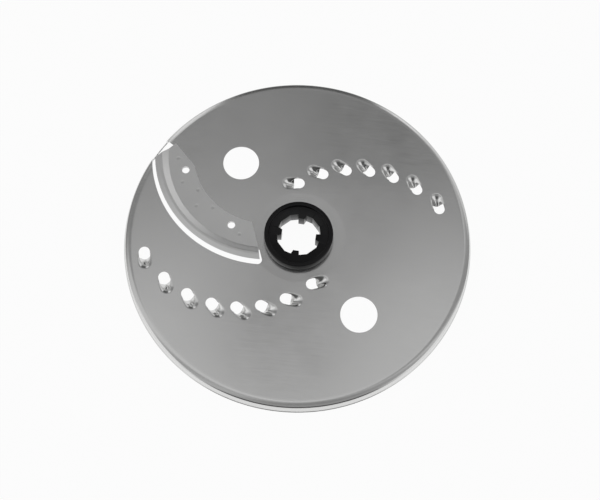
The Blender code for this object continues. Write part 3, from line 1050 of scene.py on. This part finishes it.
    def build(self) -> bpy.types.Object:
        """Cuts the flat blank with all its holes, presses it and gives it its thickness.

        Returns:
            The plate.
        """
        teeth = self.teeth()
        pitch_radius = (self.hub_radius + self.flat_radius) / 2
        loops = [circle(ORIGIN, self.blank_radius, self.ring_steps)]
        loops.append(circle(ORIGIN, self.centre_hole, self.hub_steps))
        for half_turn in (0.0, math.pi):
            centre = polar(pitch_radius, self.finger_hole_angle + half_turn)
            loops.append(circle(centre, self.finger_hole_radius, self.finger_steps))
        loops += [*self.plan.jig_holes(), self.window()]
        loops += [tooth.loop() for tooth in teeth]

        grid = PointGrid(self.grid_cell)
        outlines: list[list[int]] = []
        for loop in loops:
            first = len(grid.points)
            for point in counter_clockwise(loop):
                grid.take(point)
            outlines.append(list(range(first, len(grid.points))))
        for tooth in teeth:
            for point in tooth.contours():
                grid.offer(point, self.spacing / self.tooth_density)
        for radius in [self.flat_radius - self.rim_ring_inset] + self.bend_radii():
            for point in circle(ORIGIN, radius, self.ring_steps):
                grid.offer(point, self.spacing / self.rim_density)
        dish_rings = [self.dish_radius + side * self.dish_ring_spread for side in (-1, 1)]
        for radius in [self.hub_radius] + dish_rings:
            for point in circle(ORIGIN, radius, self.hub_steps):
                grid.offer(point, self.spacing)

        cut = delaunay_2d_cdt(grid.points, [], outlines, 0, self.merge_distance)
        flat, _, faces, _, _, sources = cut
        shape = bmesh.new()
        verts = [shape.verts.new(self.pressed(Vector(p), teeth)) for p in flat]
        for face, source in zip(faces, sources):
            if list(source) == [0]:
                shape.faces.new([verts[i] for i in face])
        bmesh.ops.delete(shape, geom=[v for v in shape.verts if not v.link_faces], context="VERTS")
        self.piece = object_from("plate_sheet", shape)
        thickness = self.piece.modifiers.new("sheet", "SOLIDIFY")
        thickness.thickness = self.sheet
        thickness.offset = -1.0
        return settle(self.piece, self.smooth_angle)

    def dress(self, finish: SteelFinish) -> None:
        """Gives the plate its finish and puts it in the CAD plate's place.

        Args:
            finish: the rolled sheet's finish.
        """
        self.piece.data.materials.clear()
        self.piece.data.materials.append(finish.make())
        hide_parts("disc_plate")
        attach(self.piece, "root")


@dataclass
class SlicingBlade:
    """The joggled crescent blade, welded to the plate on its inner side and ground at its edge."""

    plan: BladePlan
    seat: float = 6.0 * MM
    thickness: float = 0.7 * MM
    rise: float = 2.05 * MM
    bevel_drop: float = 0.45 * MM
    edge_thickness: float = 0.12 * MM
    weld_radius: float = 1.1 * MM
    weld_depth: float = 0.08 * MM
    sweep_start: float = math.radians(176.0)
    sweep_end: float = math.radians(282.0)
    sweep_steps: int = 200
    fillet_steps: int = 8
    outline_reach: float = 1.2
    outline_steps: int = 8
    dimple_rings: int = 5
    dimple_steps: int = 32
    smooth_angle: float = math.radians(5.0)
    piece: bpy.types.Object | None = field(default=None, repr=False)

    @property
    def top(self) -> float:
        """Height of the welded strip's upper side."""
        return self.seat + self.thickness

    def section(self) -> list[Vector]:
        """Draws the blade's section.

        Returns:
            Its corners, as distance from the arcs' centre and height.
        """
        plan = self.plan
        slope = self.rise / (plan.joggle_width - plan.joggle_fillet)
        foot = []
        for i in range(self.fillet_steps + 1):
            distance = plan.joggle_fillet * i / self.fillet_steps
            foot.append(Vector((distance, slope * distance**2 / (2 * plan.joggle_fillet))))
        rise = foot + [Vector((plan.joggle_width, self.rise)) - p for p in reversed(foot)]
        joggle = [Vector((plan.joggle_start, self.top)) + p for p in rise]
        crest = self.top + self.rise
        section = [Vector((plan.back, self.top))] + joggle
        section.append(Vector((plan.bevel_start, crest)))
        section.append(Vector((plan.edge, crest - self.bevel_drop)))
        section.append(Vector((plan.edge, crest - self.bevel_drop - self.edge_thickness)))
        section += [p - Vector((0, self.thickness)) for p in reversed(joggle)]
        section.append(Vector((plan.back, self.seat)))
        return section

    def outline(self) -> list[Vector]:
        """Draws what the swept section is trimmed to.

        Returns:
            The plan outline, which passes clear of the edge.
        """
        plan = self.plan
        tip, heel, shoulder, inner_end = plan.corners()
        past_tip = tip + (tip - heel).normalized() * CLEAR
        past_edge = inner_end[2] + (inner_end[2] - inner_end[1]).normalized() * CLEAR
        reach = plan.edge * self.outline_reach
        clear = arc(plan.centre, reach, self.sweep_end, self.sweep_start, self.outline_steps)
        return [past_tip, heel, shoulder, plan.centre, *inner_end, past_edge, *clear]

    def dimples(self) -> bmesh.types.BMesh:
        """Makes the caps of balls that the spot welds press into the blade.

        Returns:
            Closed shapes to cut away.
        """
        ball = (self.weld_radius**2 + self.weld_depth**2) / (2 * self.weld_depth)
        shape = bmesh.new()
        for place in self.plan.weld_points():
            rings = []
            for number in range(1, self.dimple_rings + 1):
                radius = self.weld_radius * (number / self.dimple_rings)
                height = self.top - self.weld_depth + ball - math.sqrt(ball**2 - radius**2)
                ring = circle(place, radius, self.dimple_steps)
                rings.append([shape.verts.new((p.x, p.y, height)) for p in ring])
            lid_height = self.top + self.weld_depth
            rings.append([shape.verts.new((v.co.x, v.co.y, lid_height)) for v in rings[-1]])
            shape.faces.new(rings[0])
            shape.faces.new(rings[-1])
            for low, high in zip(rings, rings[1:]):
                for i in range(self.dimple_steps):
                    shape.faces.new((low[i - 1], low[i], high[i], high[i - 1]))
        return shape

    def build(self) -> bpy.types.Object:
        """Sweeps the section, trims it and cuts the jig holes and the weld dimples.

        Returns:
            The blade.
        """
        sweep = self.sweep_end - self.sweep_start
        shape = turned(self.section(), self.plan.centre, self.sweep_start, sweep, self.sweep_steps)
        self.piece = object_from("blade_strip", shape)
        low, high = self.seat - CLEAR, self.top + self.rise + CLEAR
        trim = Cutter.prism("blade_outline", self.outline(), low, high)
        trim.use_on(self.piece, Operation.KEEP_INSIDE)
        for ring in self.plan.jig_holes():
            Cutter.prism("jig_hole", ring, low, high).use_on(self.piece, Operation.CUT_AWAY)
        Cutter("weld_dimples", self.dimples()).use_on(self.piece, Operation.CUT_AWAY)
        return settle(self.piece, self.smooth_angle)

    def dress(self, finish: SteelFinish) -> None:
        """Gives the blade its finish and puts it in the CAD blade's place.

        Args:
            finish: the ground strip's finish.
        """
        self.piece.data.materials.clear()
        self.piece.data.materials.append(finish.make())
        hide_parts("slicing_blade")
        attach(self.piece, "root")


@dataclass
class KeyedHub:
    """The moulded hub that grips the plate's centre hole, with its keyed bore."""

    plate_top: float = 5.7 * MM
    dish_depth: float = 0.3 * MM
    sheet: float = 0.5 * MM
    seat_gap: float = 0.3 * MM
    radius: float = 17.3 * MM
    draft: float = 0.15 * MM
    rise: float = 5.0 * MM
    lip: float = 2.2 * MM
    recess: float = 1.4 * MM
    edge: float = 0.5 * MM
    inner_edge: float = 0.3 * MM
    foot: float = 0.4 * MM
    wall: float = 3.2 * MM
    bore_radius: float = 11.2 * MM
    bore_sides: int = 12
    lug_tip_radius: float = 8.6 * MM
    lug_tip_width: float = 2.9 * MM
    lug_lead: float = 0.9 * MM
    lug_trail: float = 0.3 * MM
    lug_count: int = 4
    turn_steps: int = 192
    corner_steps: int = 6
    ease_width: float = 0.18 * MM
    ease_segments: int = 3
    ease_angle: float = math.radians(25.0)
    smooth_angle: float = math.radians(35.0)
    piece: bpy.types.Object | None = field(default=None, repr=False)

    def section(self) -> list[Vector]:
        """Draws the hub's section, with its bore still small.

        Returns:
            Its corners, as distance from the drive axis and height.
        """
        groove_top = self.plate_top - self.dish_depth + self.seat_gap
        groove_bottom = self.plate_top - self.dish_depth - self.sheet - self.seat_gap
        top = self.plate_top + self.rise
        bottom = self.plate_top - self.sheet - self.rise
        recess = self.radius - self.lip
        blank_bore = self.lug_tip_radius / 2
        foot = self.radius + self.draft
        core = self.bore_radius + self.wall
        corners = (
            (blank_bore, bottom + self.recess, 0.0),
            (recess, bottom + self.recess, self.foot),
            (recess, bottom, self.inner_edge),
            (self.radius, bottom, self.edge),
            (foot, groove_bottom, 0.0),
            (core, groove_bottom, 0.0),
            (core, groove_top, 0.0),
            (foot, groove_top, 0.0),
            (self.radius, top, self.edge),
            (recess, top, self.inner_edge),
            (recess, top - self.recess, self.foot),
            (blank_bore, top - self.recess, 0.0),
        )
        points = [Vector(corner[:2]) for corner in corners]
        return rounded(points, [corner[2] for corner in corners], self.corner_steps)

    def keyed_bore(self) -> list[Vector]:
        """Draws the bore: a polygon whose sides give way to the lugs.

        Returns:
            Its plan outline.
        """
        side = math.tau / self.bore_sides
        flat = self.bore_radius * math.cos(side / 2)
        turn = math.tau / self.lug_count
        half = self.lug_tip_width / 2
        outline = []
        for lug in range(self.lug_count):
            along = polar(1.0, turn * lug)
            across = polar(1.0, turn * lug + math.pi / 2)
            flanks = ((-half, -half - self.lug_lead), (half, half + self.lug_trail))
            for tip_side, root_side in flanks:
                depth = (flat - abs(root_side) * math.sin(side / 2)) / math.cos(side / 2)
                root = along * depth + across * root_side
                tip = along * self.lug_tip_radius + across * tip_side
                outline += [root, tip] if tip_side < 0 else [tip, root]
            for corner in range(1, round(turn / side)):
                outline.append(polar(self.bore_radius, turn * lug + side * corner))
        return outline

    def build(self) -> bpy.types.Object:
        """Turns the section, bores the key and eases the moulded edges.

        Returns:
            The hub.
        """
        shape = turned(self.section(), ORIGIN, 0.0, math.tau, self.turn_steps)
        self.piece = object_from("hub_moulding", shape)
        top = self.plate_top + self.rise + CLEAR
        bore = Cutter.prism("keyed_bore", self.keyed_bore(), -CLEAR, top)
        bore.use_on(self.piece, Operation.CUT_AWAY)
        ease = self.piece.modifiers.new("moulded_edges", "BEVEL")
        ease.width = self.ease_width
        ease.segments = self.ease_segments
        ease.limit_method = "ANGLE"
        ease.angle_limit = self.ease_angle
        return settle(self.piece, self.smooth_angle)

    def dress(self, finish: PlasticFinish) -> None:
        """Gives the hub its finish and puts it in the CAD hub's place.

        Args:
            finish: the moulded plastic's finish.
        """
        self.piece.data.materials.clear()
        self.piece.data.materials.append(finish.make())
        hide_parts("hub")
        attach(self.piece, "root")


@dataclass(frozen=True)
class PhotoCamera:
    """The camera, placed as the photograph was taken."""

    location: tuple[float, float, float] = (0.0269, -0.2078, 0.5685)
    down_angle: float = math.radians(66.99)
    turn: float = math.radians(1.6)
    roll: float = math.radians(6.97)
    focal_pixels: float = 1188.24
    frame_width: int = 600
    shift_x: float = -0.07815
    shift_y: float = -0.10553
    sensor_width: float = 36.0
    clip: tuple[float, float] = (0.01, 20.0)

    def build(self) -> bpy.types.Object:
        """Makes the camera and sets it as the scene's.

        Returns:
            The camera.
        """
        data = bpy.data.cameras.new("photo_camera")
        data.sensor_width = self.sensor_width
        data.sensor_fit = "HORIZONTAL"
        data.lens = self.focal_pixels / self.frame_width * data.sensor_width
        data.shift_x = self.shift_x
        data.shift_y = self.shift_y
        data.clip_start, data.clip_end = self.clip
        camera = bpy.data.objects.new("photo_camera", data)
        bpy.context.scene.collection.objects.link(camera)
        forward = Vector((0.0, math.cos(self.down_angle), -math.sin(self.down_angle)))
        forward.rotate(Matrix.Rotation(self.turn, 3, "Z"))
        upright = forward.to_track_quat("-Z", "Y").to_matrix()
        rotation = upright @ Matrix.Rotation(self.roll, 3, "Z")
        camera.matrix_world = Matrix.Translation(self.location) @ rotation.to_4x4()
        bpy.context.scene.camera = camera
        return camera


@dataclass(frozen=True)
class SoftPanel:
    """A soft-edged panel of the studio's surroundings, in degrees of azimuth and elevation."""

    name: str
    azimuth: float
    half_width: float
    bottom: float
    top: float
    softness: float
    level: float


@dataclass(frozen=True)
class Studio:
    """A pale floor under soft surroundings, with brighter and darker patches round the disc."""

    floor_size: float = 3.0
    floor_drop: float = 0.02 * MM
    floor_tone: tuple[float, float, float, float] = (0.9, 0.9, 0.9, 1.0)
    floor_glow: float = 0.95
    ceiling: float = 0.76
    ceiling_lean: tuple[float, float] = (0.06, -0.30)
    ceiling_climb: tuple[float, float] = (0.35, 0.9)
    walls: float = 0.628
    white: tuple[float, float, float, float] = (1.0, 1.0, 1.0, 1.0)
    panels: tuple[SoftPanel, ...] = (
        SoftPanel("sky_behind_camera", 276.0, 75.0, 54.0, 89.0, 10.0, 0.42),
        SoftPanel("far_wall", 110.7, 46.1, 24.5, 65.0, 6.8, 0.29),
        SoftPanel("left_sheet", 212.0, 12.0, -ZENITH, 40.0, 12.0, 1.05),
        SoftPanel("right_sheet", 355.1, 24.5, -ZENITH, 45.0, 6.2, 1.0),
        SoftPanel("near_shade_high", 278.0, 33.0, 20.0, 48.0, 13.0, 0.10),
        SoftPanel("near_shade_low", 278.0, 36.0, 5.0, 20.0, 4.0, 0.08),
        SoftPanel("far_strip_right", 74.4, 4.3, 27.7, 40.0, 5.0, 1.1),
        SoftPanel("far_shade", 98.0, 16.0, 9.0, 42.0, 4.4, 0.11),
        SoftPanel("far_strip_left", 125.5, 6.0, 24.0, 52.0, 5.0, 1.0),
        SoftPanel("left_shade_high", 136.8, 9.0, 50.0, 62.8, 5.1, 0.26),
        SoftPanel("right_shade", 27.9, 8.5, 0.0, 89.0, 19.0, 0.34),
        SoftPanel("right_glow", 52.0, 13.0, 18.0, 37.0, 6.0, 0.80),
        SoftPanel("left_shade_low", 153.2, 12.8, 16.4, 39.9, 11.0, 0.28),
        SoftPanel("left_seam", 231.5, 5.4, 34.7, 85.0, 9.9, 0.56),
        SoftPanel("boom_overhead", 292.9, 35.8, 75.4, 86.3, 15.6, 0.29),
        SoftPanel("ceiling_spot_high", 99.7, 8.0, 73.0, 75.5, 4.0, 0.25),
        SoftPanel("ceiling_spot_low", 88.5, 5.0, 63.0, 65.0, 3.0, 0.14),
        SoftPanel("ceiling_spot_middle", 92.0, 5.0, 68.0, 70.0, 2.5, 0.33),
    )

    def floor(self) -> bpy.types.Object:
        """Makes a plain floor just under the rim, white to the camera, that still takes a shadow.

        Returns:
            The floor.
        """
        shape = bmesh.new()
        bmesh.ops.create_grid(shape, x_segments=1, y_segments=1, size=self.floor_size)
        floor = object_from("studio_floor", shape)
        floor.location.z = -self.floor_drop
        material = bpy.data.materials.new("white_table")
        sheet = NodeSheet(material)
        path = sheet.add("LightPath").outputs
        seen = sheet.math("MAXIMUM", path["Is Camera Ray"], path["Is Glossy Ray"])
        seen = sheet.math("MAXIMUM", seen, path["Is Transmission Ray"])
        share = sheet.math("MULTIPLY", seen, self.floor_glow)
        matt = sheet.add("BsdfDiffuse", None, Color=self.floor_tone)
        glow = sheet.add("Emission", None, Color=self.white, Strength=1.0)
        mix = sheet.add("MixShader", None, Fac=share)
        sheet.join(matt.outputs[0], mix.inputs[1])
        sheet.join(glow.outputs[0], mix.inputs[2])
        sheet.add("OutputMaterial", None, Surface=mix.outputs[0])
        floor.data.materials.append(material)
        return floor

    def share(
        self,
        sheet: NodeSheet,
        panel: SoftPanel,
        level_way: bpy.types.NodeSocket,
        up: bpy.types.NodeSocket,
    ) -> bpy.types.NodeSocket:
        """Finds how far a direction lies within a panel.

        Args:
            sheet: the world's nodes.
            panel: the panel.
            level_way: the direction's level part, as a unit vector.
            up: the direction's height, from -1 to 1.

        Returns:
            A socket from 0 outside the panel to 1 within its soft edge.
        """
        azimuth = math.radians(panel.azimuth)
        middle = (math.cos(azimuth), math.sin(azimuth), 0.0)
        aside = sheet.vector("DOT_PRODUCT", level_way, middle)
        outer = math.cos(math.radians(panel.half_width + panel.softness))
        share = sheet.step(aside, outer, math.cos(math.radians(panel.half_width)))
        if panel.bottom > -ZENITH:
            low = math.sin(math.radians(panel.bottom - panel.softness))
            above = sheet.step(up, low, math.sin(math.radians(panel.bottom)))
            share = sheet.math("MULTIPLY", share, above)
        high = math.sin(math.radians(min(ZENITH, panel.top + panel.softness)))
        below = sheet.step(up, high, math.sin(math.radians(panel.top)))
        return sheet.math("MULTIPLY", share, below)

    def surroundings(self) -> bpy.types.World:
        """Makes the world: an even grey with soft brighter and darker patches.

        Returns:
            The world.
        """
        world = bpy.data.worlds.new("soft_studio")
        bpy.context.scene.world = world
        sheet = NodeSheet(world)
        way = sheet.add("TexCoord").outputs["Generated"]
        up = sheet.add("SeparateXYZ", None, Vector=way).outputs["Z"]
        lean = sheet.vector("DOT_PRODUCT", way, (*self.ceiling_lean, 0.0))
        ceiling = sheet.math("ADD", lean, self.ceiling)
        level = sheet.blend(sheet.step(up, *self.ceiling_climb), self.walls, ceiling)
        level_way = sheet.vector("NORMALIZE", sheet.vector("MULTIPLY", way, (1.0, 1.0, 0.0)))
        for panel in self.panels:
            level = sheet.blend(self.share(sheet, panel, level_way, up), level, panel.level)
            level.node.label = panel.name
        background = sheet.add("Background", None, Color=self.white, Strength=level)
        sheet.add("OutputWorld", None, Surface=background.outputs[0])
        return world

    def build(self) -> None:
        """Makes the floor and the surroundings."""
        self.floor()
        self.surroundings()
        bpy.context.scene.view_settings.view_transform = "Standard"


def main() -> None:
    """Builds the camera, the studio and the three pieces."""
    logging.basicConfig(level=logging.INFO, format="%(name)s: %(message)s")
    PhotoCamera().build()
    Studio().build()
    plan = BladePlan()
    plate_finish = SteelFinish(
        name="rolled_sheet",
        tint=(0.68, 0.68, 0.675),
        roughness=0.18,
        grain_depth=0.0015 * MM,
        grain_across=2600.0,
        grain_along=90.0,
    )
    blade = SlicingBlade(plan)
    welds = tuple(Vector((p.x, p.y, blade.top)) for p in plan.weld_points())
    blade_finish = SteelFinish(
        name="ground_strip",
        tint=(0.74, 0.74, 0.735),
        roughness=0.34,
        grain_depth=0.001 * MM,
        grain_across=3200.0,
        grain_along=120.0,
        grain_angle=0.6,
        # The weld places get painted shade spots in the blade's colour.
        weld_shade_spots=welds,
    )
    hub_finish = PlasticFinish(name="black_moulding", tint=(0.006, 0.006, 0.0065), roughness=0.16)
    made = (
        (DiscPlate(plan, ToothForm()), plate_finish),
        (blade, blade_finish),
        (KeyedHub(), hub_finish),
    )
    for assembly, finish in made:
        piece = assembly.build()
        assembly.dress(finish)
        log.info("%s: %d faces", piece.name, len(piece.data.polygons))


if __name__ == "__main__":
    main()
